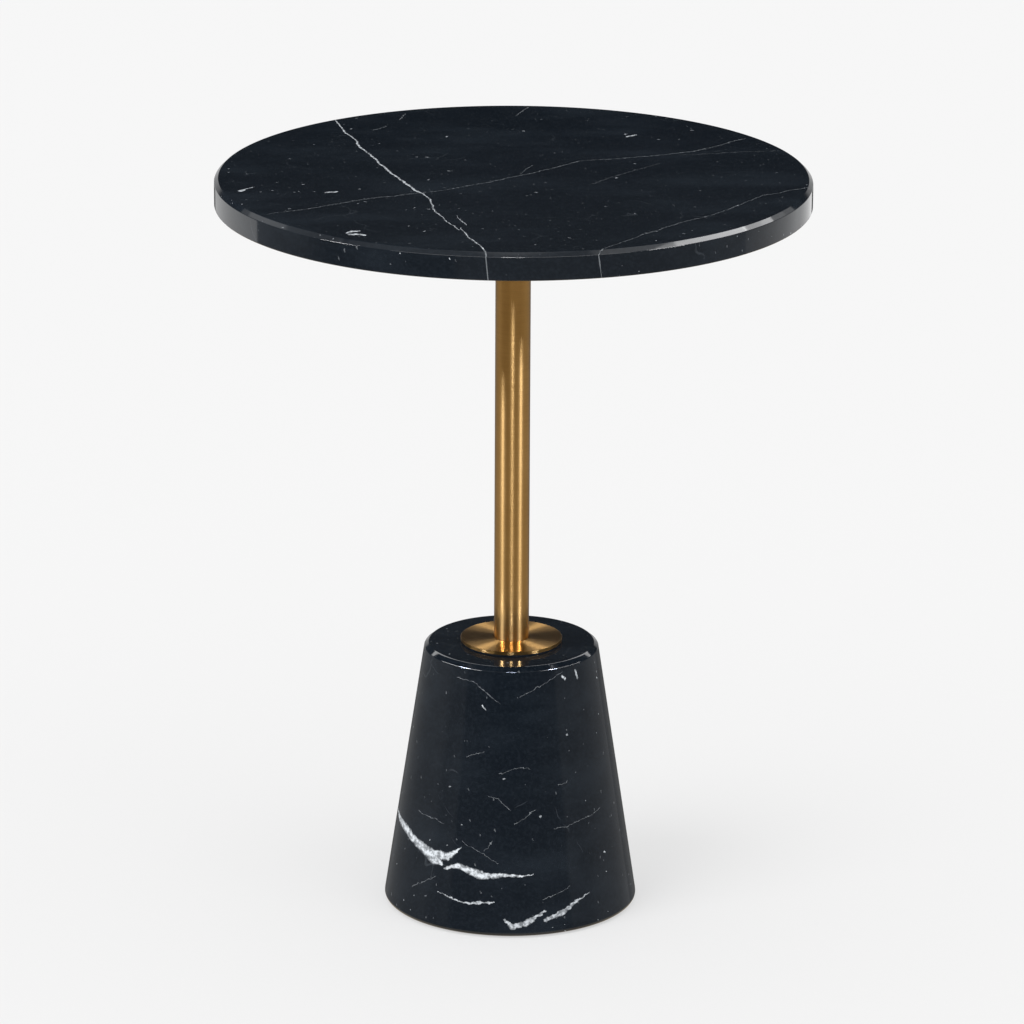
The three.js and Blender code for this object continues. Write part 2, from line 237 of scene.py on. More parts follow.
def polished_marble(name, lay_flat, veins):
    """Polished black marble. lay_flat turns places in the stone into the flat map that the
    veins are drawn on; veins is a list of (whiteness, raggedness, routes)."""
    stone = Finish(name)
    place = stone.where()
    # Faint cloudy bedding, drawn out sideways.
    bedding = stone.noise(stone.stretched(place, (9, 22, 30)), 1.0, 6.0, 0.62).outputs[0]
    grain = stone.noise(place, 420, 4.0, 0.7).outputs[0]
    body = stone.blend(stone.remap(bedding, 0.42, 0.74, 0.0, 1.0),
                       (0.0038, 0.0064, 0.0102, 1), (0.0098, 0.0142, 0.0200, 1))
    body = stone.blend(stone.remap(grain, 0.42, 0.7, 0.0, 0.42), body, (0.0145, 0.0195, 0.0265, 1))
    # Broken hair veins along the walls of large warped cells.
    drift = stone.noise(place, 14, 3.0).outputs["Color"]
    warped = nudged(stone, place, drift, 0.055)
    walls = stone.cells(warped, 19, "DISTANCE_TO_EDGE").outputs["Distance"]
    hair = stone.remap(walls, 0.0, 0.0085, 1.0, 0.0)
    patches = stone.noise(place, 31, 2.0).outputs[0]
    hair = stone.math("MULTIPLY", hair, stone.remap(patches, 0.58, 0.68, 0.0, 0.08))
    body = stone.blend(hair, body, (0.30, 0.34, 0.38, 1))
    # Pale flecks and short strokes: cells drawn out in a few directions, each holding a ragged
    # mark of its own size or none.
    crumbled = nudged(stone, place, stone.noise(place, 700, 2.0).outputs["Color"], 0.0020)
    # Each kind: its turn in radians, its stretch, cells to the metre, largest mark, brightness.
    marks = (
        ((0.4, 0.2, 0.9), (1.0, 0.45, 1.0), 125, 0.090, 0.80),
        ((0.1, 0.3, 0.3), (0.4, 1.0, 0.8), 180, 0.125, 0.45),
        ((0.2, 0.4, 2.2), (0.8, 1.0, 0.4), 290, 0.200, 0.16),
        ((0.3, 0.9, 0.5), (0.07, 1.0, 1.0), 48, 0.034, 0.26),
        ((0.2, 0.5, 1.1), (0.10, 1.0, 1.0), 52, 0.032, 0.20),
        ((0.1, -0.6, 2.6), (0.08, 1.0, 1.0), 44, 0.032, 0.22),
    )
    for turn, stretch, density, largest, brightness in marks:
        turned = stone.add("ShaderNodeVectorRotate", crumbled, rotation_type="EULER_XYZ")
        turned.inputs["Rotation"].default_value = turn
        mark = stone.cells(stone.stretched(turned.outputs[0], stretch), density)
        size = stone.remap(mark.outputs["Color"], 0.5, 1.0, 0.0001, largest)
        reach = stone.math("DIVIDE", mark.outputs["Distance"], size)
        share = stone.remap(reach, 0.55, 1.15, brightness, 0.0)
        body = stone.blend(share, body, (0.60, 0.64, 0.68, 1))
    # The drawn veins, with their edges made ragged at two sizes.
    flat = lay_flat(stone, place)
    coarse = stone.noise(flat, 55, 2.0).outputs["Color"]
    fine = stone.noise(flat, 420, 3.0).outputs["Color"]
    wandering = nudged(stone, flat, coarse, 0.0055)
    for whiteness, ragged, routes in veins:
        shifted = stone.stretched(nudged(stone, wandering, fine, 0.0028 * ragged), (1, 1, 0))
        nearest = None
        for route in routes:
            share = vein_nearness(stone, shifted, route)
            nearest = share if nearest is None else stone.math("MINIMUM", nearest, share)
        mask = stone.remap(nearest, 0.55, 1.25, 1.0, 0.0)
        cloudy = stone.remap(stone.noise(flat, 330, 4.0, 0.65).outputs[0], 0.38, 0.60, 0.30, 1.0)
        mask = stone.math("MULTIPLY", stone.math("MULTIPLY", mask, cloudy), whiteness)
        body = stone.blend(mask, body, (0.66, 0.70, 0.74, 1))
    stone.set("Base Color", body)
    stone.set("Roughness", stone.remap(stone.noise(place, 60, 3.0).outputs[0], 0.3, 0.7, 0.045, 0.085))
    stone.set("IOR", 1.5)
    return stone.material


base_low, base_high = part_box("base")
pad_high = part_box("foot_pad_1")[1].z
base_foot_radius = 0.09125
base_shoulder_radius = 0.062
base_chamfer = 0.003
pocket_radius = 0.025
pocket_depth = 0.022
base_bore_radius = 0.009

base = turned_blank("stone_base", base_foot_radius, base_shoulder_radius, base_low.z, base_high.z,
                    corners=192)
pocket_ceiling = base_low.z + pocket_depth
pick(base, "polygons", lambda corner: abs(corner.z - base_low.z) < 1e-6)
bpy.ops.mesh.inset(thickness=base_foot_radius - pocket_radius)
bpy.ops.mesh.extrude_region_move(TRANSFORM_OT_translate={"value": (0, 0, pocket_depth)})
bore(base, base_bore_radius, pocket_ceiling, base_high.z)
ease(base, base_shoulder_radius, base_high.z, base_chamfer, 1)
lean = (base_foot_radius - base_shoulder_radius) / (base_high.z - base_low.z)
chamfer_radii = (base_shoulder_radius - base_chamfer, base_shoulder_radius + base_chamfer * lean)
foot_rounding = 0.0034
ease(base, chamfer_radii[0], base_high.z, 0.0006, 4)
ease(base, chamfer_radii[1], base_high.z - base_chamfer, 0.0004, 4)
ease(base, base_foot_radius, base_low.z, foot_rounding, 6)
ease(base, pocket_radius, base_low.z, 0.0008, 2)
pads = [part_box(f"foot_pad_{i}") for i in (1, 2, 3, 4)]
pad_gap = 0.0003
past = 0.001
for low, high in pads:
    middle = (low + high) / 2
    cut_round(base, (high.x - low.x) / 2 + pad_gap, middle, base_low.z - past, pad_high)


mean_radius = 0.08


def unroll(stone, place):
    """Lays the cone's skin out flat: distance round it from the front, and height."""
    split = stone.add("ShaderNodeSeparateXYZ", place).outputs
    turn = stone.math("ARCTAN2", split[0], stone.math("MULTIPLY", split[1], -1.0))
    distance = stone.math("MULTIPLY", turn, mean_radius)
    return stone.add("ShaderNodeCombineXYZ", distance, split[2]).outputs[0]


def round_the_base(*points):
    """A route from (degrees round from the front, height mm, half width mm)."""
    return [(math.radians(turn) * mean_radius, height / 1000, half / 1000)
            for turn, height, half in points]


base_veins = [
    (1.0, 1.0, [
        round_the_base((-86, 67, 1.0), (-77, 65, 2.2), (-64, 62.5, 3.0), (-50, 56.4, 3.0), (-41, 51, 4.0),
                       (-36, 49, 1.4)),
        round_the_base((-42, 52, 3.0), (-33, 55, 2.4), (-25, 63, 0.4)),
        round_the_base((-34, 46, 0.6), (-27, 50, 2.2), (-17, 46, 2.6), (-8, 44.5, 1.8), (0, 45, 1.0),
                       (11, 46, 0.2)),
        round_the_base((35, 184, 0.9), (37, 182, 1.1)),
        round_the_base((46, 187, 0.8), (47, 181, 0.9)),
        round_the_base((-18, 165, 0.5), (-16, 163, 0.7)),
    ]),
    (0.8, 1.4, [
        round_the_base((-36, 27, 0.2), (-22, 23, 0.6), (-14, 24, 0.8), (-8, 26, 0.4)),
        round_the_base((-3, 14, 0.6), (1, 9, 1.9), (7, 11, 1.6), (16, 18, 0.9)),
        round_the_base((17, 12, 1.2), (24, 16, 2.0), (31, 21, 1.0), (40, 26, 0.3)),
    ]),
    (0.27, 1.0, [
        round_the_base((-26, 127, 0.15), (-16, 134, 0.22)),
        round_the_base((0, 92, 0.22), (-7, 100, 0.22), (-12, 102, 0.15)),
        round_the_base((23, 77, 0.15), (47, 81, 0.22), (54, 84, 0.15)),
        round_the_base((-13, 63, 0.22), (-9, 70, 0.15)),
        round_the_base((-25, 68, 0.15), (-6, 55, 0.15)),
        round_the_base((-56, 80, 0.22), (-37, 78, 0.15)),
        round_the_base((-54, 25, 0.22), (-38, 39, 0.15)),
        round_the_base((15, 27, 0.22), (30, 34, 0.15)),
        round_the_base((-37, 183, 0.22), (-24, 181, 0.15), (-13, 173, 0.30), (-6, 168, 0.15)),
        round_the_base((6, 173, 0.22), (21, 181, 0.22), (36, 187, 0.15)),
        round_the_base((-6, 118, 0.22), (4, 122, 0.15), (11, 121, 0.15)),
        round_the_base((2, 82, 0.15), (10, 90, 0.22), (14, 92, 0.15)),
        round_the_base((27, 108, 0.22), (33, 110, 0.22)),
    ]),
    (0.75, 1.2, [
        round_the_base((128, 132, 0.4), (141, 118, 1.8), (158, 104, 2.4), (171, 99, 0.6)),
        round_the_base((-171, 60, 0.4), (-152, 52, 1.6), (-131, 50, 2.2), (-112, 60, 0.5)),
        round_the_base((98, 36, 0.3), (116, 30, 1.2), (134, 33, 0.5)),
    ]),
]
finish_piece(base, polished_marble("base_marble", unroll, base_veins), "dark_stone", "base")


# ---- The foot pads ----
# Four round pads of black rubber, let into the underside of the base so that they can't be
# knocked off. Only the last millimetre stands proud, and its edge is rounded.

def dull(name, colour, roughness, grain_size, relief, worn):
    """A dull moulded or coated surface: fine grain, and a paler shade where it has rubbed."""
    skin = Finish(name)
    place = skin.where()
    rubbed = skin.remap(skin.noise(place, 90, 4.0).outputs[0], 0.45, 0.75, 0.0, 1.0)
    skin.set("Base Color", skin.blend(rubbed, (*colour, 1), (*worn, 1)))
    grain = skin.noise(place, grain_size, 3.0, 0.6).outputs[0]
    spread = 0.08
    skin.set("Roughness", skin.remap(grain, 0.3, 0.7, roughness - spread, roughness + spread))
    skin.bump(grain, 0.35, relief)
    return skin.material


rubber = dull("black_rubber", (0.010, 0.010, 0.011), 0.72, 1400, 0.0001, (0.022, 0.022, 0.022))
for number, (low, high) in enumerate(pads, start=1):
    middle = (low + high) / 2
    pad_radius = (high.x - low.x) / 2
    pad = turned_blank(f"rubber_foot_{number}", pad_radius, pad_radius, low.z, high.z, 48)
    ease(pad, pad_radius, low.z, 0.0005, 3)
    ease(pad, pad_radius, high.z, 0.0002, 1)
    pad.location = (middle.x, middle.y, 0)
    bpy.ops.object.transform_apply(location=True, rotation=True, scale=True)
    finish_piece(pad, rubber, "black_rubber", f"foot_pad_{number}")


# ---- The stem's bush, and the gasket under the flange ----
# A turned nylon bush drops into the bore and centres the stem. A thin black rubber ring keeps
# the brass off the polished stone, and shows as a dark line under the flange.

nylon = dull("natural_nylon", (0.62, 0.60, 0.53), 0.45, 900, 0.00005, (0.70, 0.68, 0.61))


def refinish(node, material):
    """Gives a CAD piece that keeps its own shape a better material."""
    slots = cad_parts[node].data.materials
    slots.clear()
    slots.append(material)


refinish("stem_bush", nylon)


def ring(name, radius, hole, low, high, corners):
    """A flat ring or a tube standing between two heights."""
    piece = turned_blank(name, radius, radius, low, high, corners)
    bore(piece, hole, low, high)
    return piece


gasket_low, gasket_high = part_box("flange_gasket")
gasket_hole = 0.0129
gasket = ring("gasket_ring", gasket_high.x, gasket_hole, gasket_low.z, gasket_high.z, 128)
ease(gasket, gasket_high.x, gasket_high.z, 0.0002, 2)
ease(gasket, gasket_high.x, gasket_low.z, 0.0002, 2)
finish_piece(gasket, rubber, "black_rubber", "flange_gasket")


# ---- The flange ----
# A disc of brass spun and brushed on the lathe, so that its fine rings spread every light into
# a bright ray from the centre. Both arrises are softly rounded, and it slips down the stem.

def brushed_brass(name, lines, line_size, roughness, spread):
    """Antique brass with fine lines round the axis. lines gives the place across the lines, and
    spread is how much further light is drawn out across them than along them."""
    brass = Finish(name)
    place = brass.where()
    across = lines(brass, place)
    streaks = brass.noise(across, line_size, 4.0, 0.75).outputs[0]
    tarnish = brass.noise(place, 26, 4.0, 0.6).outputs[0]
    colour = brass.blend(brass.remap(tarnish, 0.35, 0.7, 0.0, 1.0),
                         (0.58, 0.338, 0.112, 1), (0.65, 0.384, 0.134, 1))
    colour = brass.blend(brass.remap(streaks, 0.35, 0.7, 0.0, 0.30), colour,
                         (0.43, 0.235, 0.082, 1))
    brass.set("Base Color", colour)
    brass.set("Metallic", 1.0)
    change = 0.008
    brass.set("Roughness", brass.remap(streaks, 0.25, 0.75, roughness - change, roughness + change))
    brass.set("Anisotropic", spread)
    brass.set("Anisotropic Rotation", 0.25)
    rings = brass.add("ShaderNodeTangent", direction_type="RADIAL", axis="Z")
    brass.links.new(rings.outputs[0], brass.shader.inputs["Tangent"])
    return brass.material


def out_from_axis(brass, place):
    """Rings on a disc: the distance from the axis."""
    flat = brass.stretched(place, (1, 1, 0))
    radius = brass.add("ShaderNodeVectorMath", flat, operation="LENGTH").outputs["Value"]
    return brass.add("ShaderNodeCombineXYZ", radius, 0.0, 0.0).outputs[0]


flange_low, flange_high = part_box("base_flange")
stem_low, stem_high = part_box("stem_tube")
flange_arris = 0.00025
flange_hole = stem_high.x + 0.00015
flange = ring("brass_flange", flange_high.x, flange_hole, flange_low.z, flange_high.z, 192)
ease(flange, flange_high.x, flange_high.z, flange_arris, 4)
ease(flange, flange_high.x, flange_low.z, flange_arris, 4)
ease(flange, flange_hole, flange_high.z, 0.0002, 2)
spun_brass = brushed_brass("spun_brass", out_from_axis, 2600, 0.285, 1.0)
finish_piece(flange, spun_brass, "antique_brass", "base_flange")


# ---- The stem ----
# A straight 25 mm tube in the same antique brass, brushed round and round, which draws each
# light out into one long bright line down the tube. Its ends are cut square and deburred.

def up_the_tube(brass, place):
    """Rings on a tube: mostly the height, with a little drift round it."""
    return brass.stretched(place, (0.03, 0.03, 1))


stem_wall = 0.0015
stem = ring("brass_stem", stem_high.x, stem_high.x - stem_wall, stem_low.z, stem_high.z, 128)
ease(stem, stem_high.x, stem_low.z, 0.0002, 2)
ease(stem, stem_high.x, stem_high.z, 0.0002, 2)
stem_brass = brushed_brass("stem_brass", up_the_tube, 1500, 0.30, 0.92)
finish_piece(stem, stem_brass, "antique_brass", "stem_tube")


# ---- The hub and the mounting plate ----
# The hub is a turned steel boss: its spigot fits inside the tube, its collar sits on the tube's
# end, and its neck is welded into the plate. Both are coated in fine black powder.

black_coat = dull("black_powder_coat", (0.0110, 0.0115, 0.0125), 0.42, 2400, 0.00004,
                  (0.016, 0.0165, 0.0175))
hub_low, hub_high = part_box("plate_hub")
plate_low, plate_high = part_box("mounting_plate")
hub_neck = 0.010
hub_thread = 0.0051
spigot_radius = 0.0108
hub = turned_blank("threaded_hub", hub_high.x, hub_high.x, stem_high.z, plate_low.z, 96)
pick(hub, "polygons", lambda corner: abs(corner.z - stem_high.z) < 1e-6)
bpy.ops.mesh.inset(thickness=hub_high.x - spigot_radius)
spigot = hub_low.z - stem_high.z
bpy.ops.mesh.extrude_region_move(TRANSFORM_OT_translate={"value": (0, 0, spigot)})
pick(hub, "polygons", lambda corner: abs(corner.z - plate_low.z) < 1e-6)
bpy.ops.mesh.inset(thickness=hub_high.x - hub_neck)
neck = hub_high.z - plate_low.z
bpy.ops.mesh.extrude_region_move(TRANSFORM_OT_translate={"value": (0, 0, neck)})
bore(hub, hub_thread, hub_low.z, hub_high.z)
ease(hub, hub_high.x, stem_high.z, 0.001, 3)
ease(hub, spigot_radius, hub_low.z, 0.001, 1)
finish_piece(hub, black_coat, "black_coat", "plate_hub")

plate_bore = hub_neck + 0.0002
plate = ring("steel_plate", plate_high.x, plate_bore, plate_low.z, plate_high.z, 128)
ease(plate, plate_high.x, plate_low.z, 0.0008, 3)
ease(plate, plate_high.x, plate_high.z, 0.0004, 2)
screws = [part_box(f"plate_screw_{i}") for i in (1, 2, 3, 4)]
screw_places = [(low + high) / 2 for low, high in screws]
plate_hole = 0.0034
for middle in screw_places:
    cut_round(plate, plate_hole, middle, plate_low.z - past, plate_high.z + past)
finish_piece(plate, black_coat, "black_coat", "mounting_plate")
refinish("plate_pad", rubber)


# ---- The threaded inserts ----
# Turned brass sleeves bonded with epoxy into blind holes in the underside of the top. They
# can't be seen once the plate is on, so they keep their plain shape.

plain_brass = dull("turned_brass", (0.50, 0.33, 0.12), 0.30, 1200, 0.00002, (0.42, 0.27, 0.09))
plain_brass.node_tree.nodes["Principled BSDF"].inputs["Metallic"].default_value = 1.0
for number in (1, 2, 3, 4):
    refinish(f"top_insert_{number}", plain_brass)


# ---- The stone top ----
# A round slab cut from the same marble and polished all over, with a flat chamfer round its
# upper arris and blind holes for the inserts underneath. One strong white vein crosses it.

top_low, top_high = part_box("table_top")
top_radius = top_high.x
top_chamfer = 0.003
top = turned_blank("stone_top", top_radius, top_radius, top_low.z, top_high.z, 288)
ease(top, top_radius, top_high.z, top_chamfer, 1)
ease(top, top_radius - top_chamfer, top_high.z, 0.0004, 3)
ease(top, top_radius, top_high.z - top_chamfer, 0.00025, 3)
ease(top, top_radius, top_low.z, 0.0008, 3)
insert_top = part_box("top_insert_1")[1].z
insert_hole = 0.0049
for middle in screw_places:
    cut_round(top, insert_hole, middle, top_low.z - past, insert_top + past)


def down_through(stone, place):
    """Lays the slab out flat from above, with its veins leaning a little as they go down."""
    lean = 0.1
    drawn_at = 0.537
    split = stone.add("ShaderNodeSeparateXYZ", place).outputs
    shifted = stone.math("MULTIPLY_ADD", split[2], lean, split[0])
    level = stone.math("ADD", shifted, -lean * drawn_at)
    return stone.add("ShaderNodeCombineXYZ", level, split[1]).outputs[0]


def across_the_top(*points):
    """A route from (x mm, y mm, half width mm)."""
    return [(x / 1000, y / 1000, half / 1000) for x, y, half in points]


top_veins = [
    (0.95, 1.0, [
        across_the_top((-131, 165, 0.35), (-120, 121, 0.5), (-112, 92, 0.45)),
        across_the_top((-113, 92, 0.5), (-109, 79, 0.85), (-102, 58, 0.5), (-90, 19, 0.75),
                       (-79, -12, 0.7), (-68, -42, 1.0), (-63, -52, 0.7)),
        across_the_top((-64, -51, 0.5), (-58, -67, 0.5), (-56, -89, 0.4), (-46, -126, 0.35),
                       (-37, -150, 0.35)),
        across_the_top((-36, -144, 0.3), (-30, -170, 0.5), (-23, -187, 0.35), (-20, -200, 0.5)),
        across_the_top((-38, -112, 0.2), (-33, -136, 0.3)),
        across_the_top((80, 114, 0.8), (87, 119, 1.2)),
        across_the_top((-190, -46, 2.0), (-187, -43, 1.6)),
        across_the_top((-187, -42, 0.6), (-180, -34, 0.2)),
        across_the_top((-129, -50, 1.4), (-126, -49, 2.0), (-123, -48, 1.2)),
        across_the_top((-112, -160, 1.2), (-108, -155, 2.0), (-104, -154, 0.9)),
        across_the_top((-111, -164, 1.2), (-106, -163, 1.8), (-101, -165, 1.3)),
    ]),
    (0.26, 0.8, [
        across_the_top((-171, -112, 0.1), (-143, -96, 0.35), (-104, -68, 0.4), (-48, -42, 0.3),
                       (-12, -14, 0.4), (24, 18, 0.35), (46, 42, 0.35), (95, 57, 0.35),
                       (128, 72, 0.45), (166, 111, 0.35)),
        across_the_top((4, 4, 0.2), (13, 30, 0.2)),
        across_the_top((-20, -200, 0.5), (-18, -213, 0.5)),
        across_the_top((54, -207, 0.12), (82, -167, 0.3), (110, -132, 0.35), (137, -105, 0.25),
                       (174, -52, 0.25), (206, -28, 0.4)),
        across_the_top((-102, 130, 0.4), (-92, 142, 0.4)),
        across_the_top((-83, 163, 0.4), (-80, 179, 0.4)),
        across_the_top((2, 177, 0.3), (10, 202, 0.4)),
    ]),
    (0.11, 1.0, [
        across_the_top((117, 61, 0.4), (188, 76, 0.4)),
        across_the_top((55, -21, 0.4), (73, 2, 0.4), (103, 37, 0.4)),
    ]),
]
finish_piece(top, polished_marble("top_marble", down_through, top_veins), "dark_stone", "table_top")


# ---- The plate's screws and washers ----
# Zinc-plated M6 button-head screws with hexagon sockets, each on a plain washer, driven up
# into the inserts from below.

def zinc_plate(name):
    """Bright zinc plating: pale steel with a faint clouding."""
    zinc = Finish(name)
    place = zinc.where()
    cloud = zinc.noise(place, 240, 4.0, 0.6).outputs[0]
    zinc.set("Base Color", zinc.blend(zinc.remap(cloud, 0.35, 0.7, 0.0, 1.0),
                                      (0.50, 0.52, 0.53, 1), (0.40, 0.41, 0.42, 1)))
    zinc.set("Metallic", 1.0)
    zinc.set("Roughness", zinc.remap(cloud, 0.3, 0.7, 0.26, 0.40))
    zinc.bump(cloud, 0.15, 0.00003)
    return zinc.material


zinc = zinc_plate("zinc_plate")
washer_low, washer_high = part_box("plate_washer_1")
screw_low, screw_high = screws[0]
head_radius = (screw_high.x - screw_low.x) / 2
shank_radius = 0.003
washer_radius = 0.006
washer_hole = shank_radius + 0.0002
socket_radius = 0.0023
socket_depth = 0.002
for number, middle in enumerate(screw_places, start=1):
    to_place = (middle.x, middle.y, 0)
    washer = ring(f"screw_washer_{number}", washer_radius, washer_hole,
                  washer_low.z, washer_high.z, corners=48)
    ease(washer, washer_radius, washer_low.z, 0.0003, 2)
    washer.location = to_place
    bpy.ops.object.transform_apply(location=True, rotation=True, scale=True)
    finish_piece(washer, zinc, "zinc_steel", f"plate_washer_{number}")

    screw = turned_blank(f"button_screw_{number}", head_radius, head_radius,
                         screw_low.z, washer_low.z, corners=48)
    pick(screw, "polygons", lambda corner: abs(corner.z - washer_low.z) < 1e-6)
    bpy.ops.mesh.inset(thickness=head_radius - shank_radius)
    shank = screw_high.z - washer_low.z
    bpy.ops.mesh.extrude_region_move(TRANSFORM_OT_translate={"value": (0, 0, shank)})
    ease(screw, shank_radius, screw_high.z, 0.0007, 1)
    ease(screw, head_radius, screw_low.z, 0.0022, 6)
    cut_round(screw, socket_radius, (0, 0), screw_low.z - past, screw_low.z + socket_depth, corners=6)
    screw.location = to_place
    bpy.ops.object.transform_apply(location=True, rotation=True, scale=True)
    finish_piece(screw, zinc, "zinc_steel", f"plate_screw_{number}")


# ---- The tie rod with its washers and nut ----
# A zinc-plated M10 rod runs from the hub down through the base. In the pocket underneath, a
# large washer spreads the load, and a split spring washer and a hexagon nut draw it all tight.

rod_low, rod_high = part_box("tie_rod")
rod_radius = rod_high.x
rod = turned_blank("threaded_rod", rod_radius, rod_radius, rod_low.z, rod_high.z, 48)
ease(rod, rod_radius, rod_low.z, 0.0012, 1)
ease(rod, rod_radius, rod_high.z, 0.0012, 1)
finish_piece(rod, zinc, "zinc_steel", "tie_rod")

anchor_low, anchor_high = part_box("anchor_washer")
anchor_hole = rod_radius + 0.0004
anchor = ring("load_washer", anchor_high.x, anchor_hole, anchor_low.z, anchor_high.z, 96)
ease(anchor, anchor_high.x, anchor_low.z, 0.0005, 2)
finish_piece(anchor, zinc, "zinc_steel", "anchor_washer")
refinish("spring_washer", zinc)

nut_low, nut_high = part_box("tie_nut")
nut_corner = nut_high.x
nut_bore = rod_radius + 0.0001
nut = turned_blank("hexagon_nut", nut_corner, nut_corner, nut_low.z, nut_high.z, corners=6)
cut_round(nut, nut_bore, (0, 0), nut_low.z - past, nut_high.z + past)
finish_piece(nut, zinc, "zinc_steel", "tie_nut")


# ---- Studio ----
# A pale glowing floor that the camera looks down on, two broad suns for the base's soft
# shadows, and strips and cards that are seen only as reflections, each kept to the pieces that
# it is meant for.

bpy.ops.mesh.primitive_plane_add(size=24, location=(0, 0, 0))
floor = bpy.context.object
floor.name = "floor"
floor_paint = Finish("floor_paint")
floor_tone = floor_paint.noise(floor_paint.where(), 0.8, 2.0).outputs[0]
floor_paint.set("Base Color", floor_paint.blend(floor_tone, (0.268, 0.268, 0.268, 1),
                                                (0.272, 0.272, 0.272, 1)))
floor_paint.set("Roughness", 0.9)
floor_paint.set("Specular IOR Level", 0.0)
floor_paint.set("Emission Color", (1, 1, 1, 1))
floor_paint.set("Emission Strength", 0.525)
floor.data.materials.append(floor_paint.material)
floor.visible_glossy = False

camera_distance = 4.60
camera_pitch = math.radians(17.3)
camera_roll = 0.005
aim_height = 0.290
camera_place = (0, -camera_distance * math.cos(camera_pitch),
                aim_height + camera_distance * math.sin(camera_pitch))
bpy.ops.object.camera_add(location=camera_place)
camera = bpy.context.object
turn = Matrix.Rotation(math.pi / 2 - camera_pitch, 3, "X") @ Matrix.Rotation(camera_roll, 3, "Z")
camera.rotation_euler = turn.to_euler()
camera.data.lens = 227
camera.data.sensor_width = 36
camera.data.clip_end = 100
bpy.context.scene.camera = camera


def toward(turn, rise):
    """The direction at a turn from the front, toward +X, and a rise, both in degrees."""
    turn, rise = math.radians(turn), math.radians(rise)
    return Vector((math.sin(turn) * math.cos(rise), -math.cos(turn) * math.cos(rise), math.sin(rise)))


def mirror_light(name, turn, rise, distance, width, height, radiance, lit,
                 colour=(1, 1, 1), aim=(0, 0, 0.35)):
    """An area light facing the aim, which shows only as a reflection in the lit pieces."""
    away = toward(turn, rise)
    bpy.ops.object.light_add(type="AREA", location=Vector(aim) + away * distance)
    light = bpy.context.object
    light.name = name
    light.rotation_euler = away.to_track_quat("Z", "Y").to_euler()
    light.data.shape = "RECTANGLE"
    light.data.size = width
    light.data.size_y = height
    light.data.energy = radiance * math.pi * width * height
    light.data.color = colour
    light.visible_camera = False
    light.visible_diffuse = False
    light.light_linking.receiver_collection = lit
    return light


def group_of(name, *pieces):
    """A collection of pieces for a light to be kept to."""
    group = bpy.data.collections.new(name)
    for piece in pieces:
        group.objects.link(piece)
    return group


only_top = group_of("only_top", top)
stem_and_base = group_of("stem_and_base", stem, base)
only_flange = group_of("only_flange", flange)
only_base = group_of("only_base", base)
plain = (1, 1, 1)
cool = (0.95, 1.07, 1.36)
# Each light: name, turn, rise, distance, width, height, radiance, lit pieces, colour.
mirror_lights = (
    ("left_strip", -72, 34.8, 2.0, 0.44, 0.20, 270, stem_and_base, cool),
    ("front_strip", 0, 24.2, 2.2, 0.42, 0.22, 80, stem_and_base, cool),
    ("right_strip", 60, 30.0, 2.0, 0.42, 0.20, 195, stem_and_base, cool),
    ("left_line", -72, 34.8, 2.0, 0.50, 0.20, 70, only_top, plain),
    ("front_line", 0, 24.2, 2.2, 0.30, 0.22, 60, only_top, plain),
    ("right_line", 60, 30.0, 2.0, 0.50, 0.20, 60, only_top, plain),
    ("left_ray", -150, 48, 2.0, 0.22, 0.40, 21, only_flange, plain),
    ("right_ray", 150, 48, 2.0, 0.22, 0.40, 21, only_flange, plain),
    ("flange_glow", 180, 36, 2.0, 3.4, 0.6, 0.8, only_flange, plain),
    ("front_glow", 0, 40, 2.0, 3.2, 0.6, 4.5, only_top, plain),
    ("back_glow", 180, 36, 2.0, 3.4, 0.6, 3.0, only_base, plain),
    ("left_glow", -76, 31, 2.0, 2.4, 0.3, 24, only_base, plain),
    ("right_glow", 76, 31, 2.0, 2.4, 0.3, 13, only_base, plain),
    ("left_sky", -114, 40, 3.0, 1.9, 1.6, 0.36, only_top, plain),
    ("right_sky", 114, 40, 3.0, 1.9, 1.6, 0.36, only_top, plain),
    ("left_rim", -122, 35, 3.0, 0.75, 0.60, 0.60, only_top, plain),
    ("right_rim", 129, 28, 3.0, 0.85, 0.70, 0.70, only_top, plain),
)
for light_facts in mirror_lights:
    mirror_light(*light_facts)


def graded_card(name, turn, width, left, right):
    """A tall card beside the top, as high as its mirrored side, whose glow changes evenly from
    one end to the other."""
    card = mirror_light(name, turn, 0.0, 1.0, width, 0.34, 1.0, only_top, aim=(0, 0, 0.27))
    card.data.use_nodes = True
    tree = card.data.node_tree
    glow = tree.nodes["Emission"]
    place = tree.nodes.new("ShaderNodeNewGeometry")
    ends = tree.nodes.new("ShaderNodeSeparateXYZ")
    grade = tree.nodes.new("ShaderNodeMapRange")
    grade.inputs["To Min"].default_value = left
    grade.inputs["To Max"].default_value = right
    tree.links.new(place.outputs["Parametric"], ends.inputs[0])
    tree.links.new(ends.outputs[0], grade.inputs["Value"])
    tree.links.new(grade.outputs[0], glow.inputs["Strength"])


graded_card("left_panel", -131, 0.92, 0.50, 0.85)
graded_card("right_panel", 124, 1.25, 0.18, 1.20)


def slanting_card(name, start, end, width, radiance, aim):
    """A long narrow light between two points, facing the aim."""
    start, end, aim = Vector(start), Vector(end), Vector(aim)
    middle = (start + end) / 2
    card = mirror_light(name, 0, 0, 1, width, (end - start).length, radiance, only_top)
    length = (end - start).normalized()
    across = length.cross(middle - aim).normalized()
    facing = Matrix((across, length, across.cross(length))).transposed()
    card.rotation_euler = facing.to_euler()
    card.location = middle


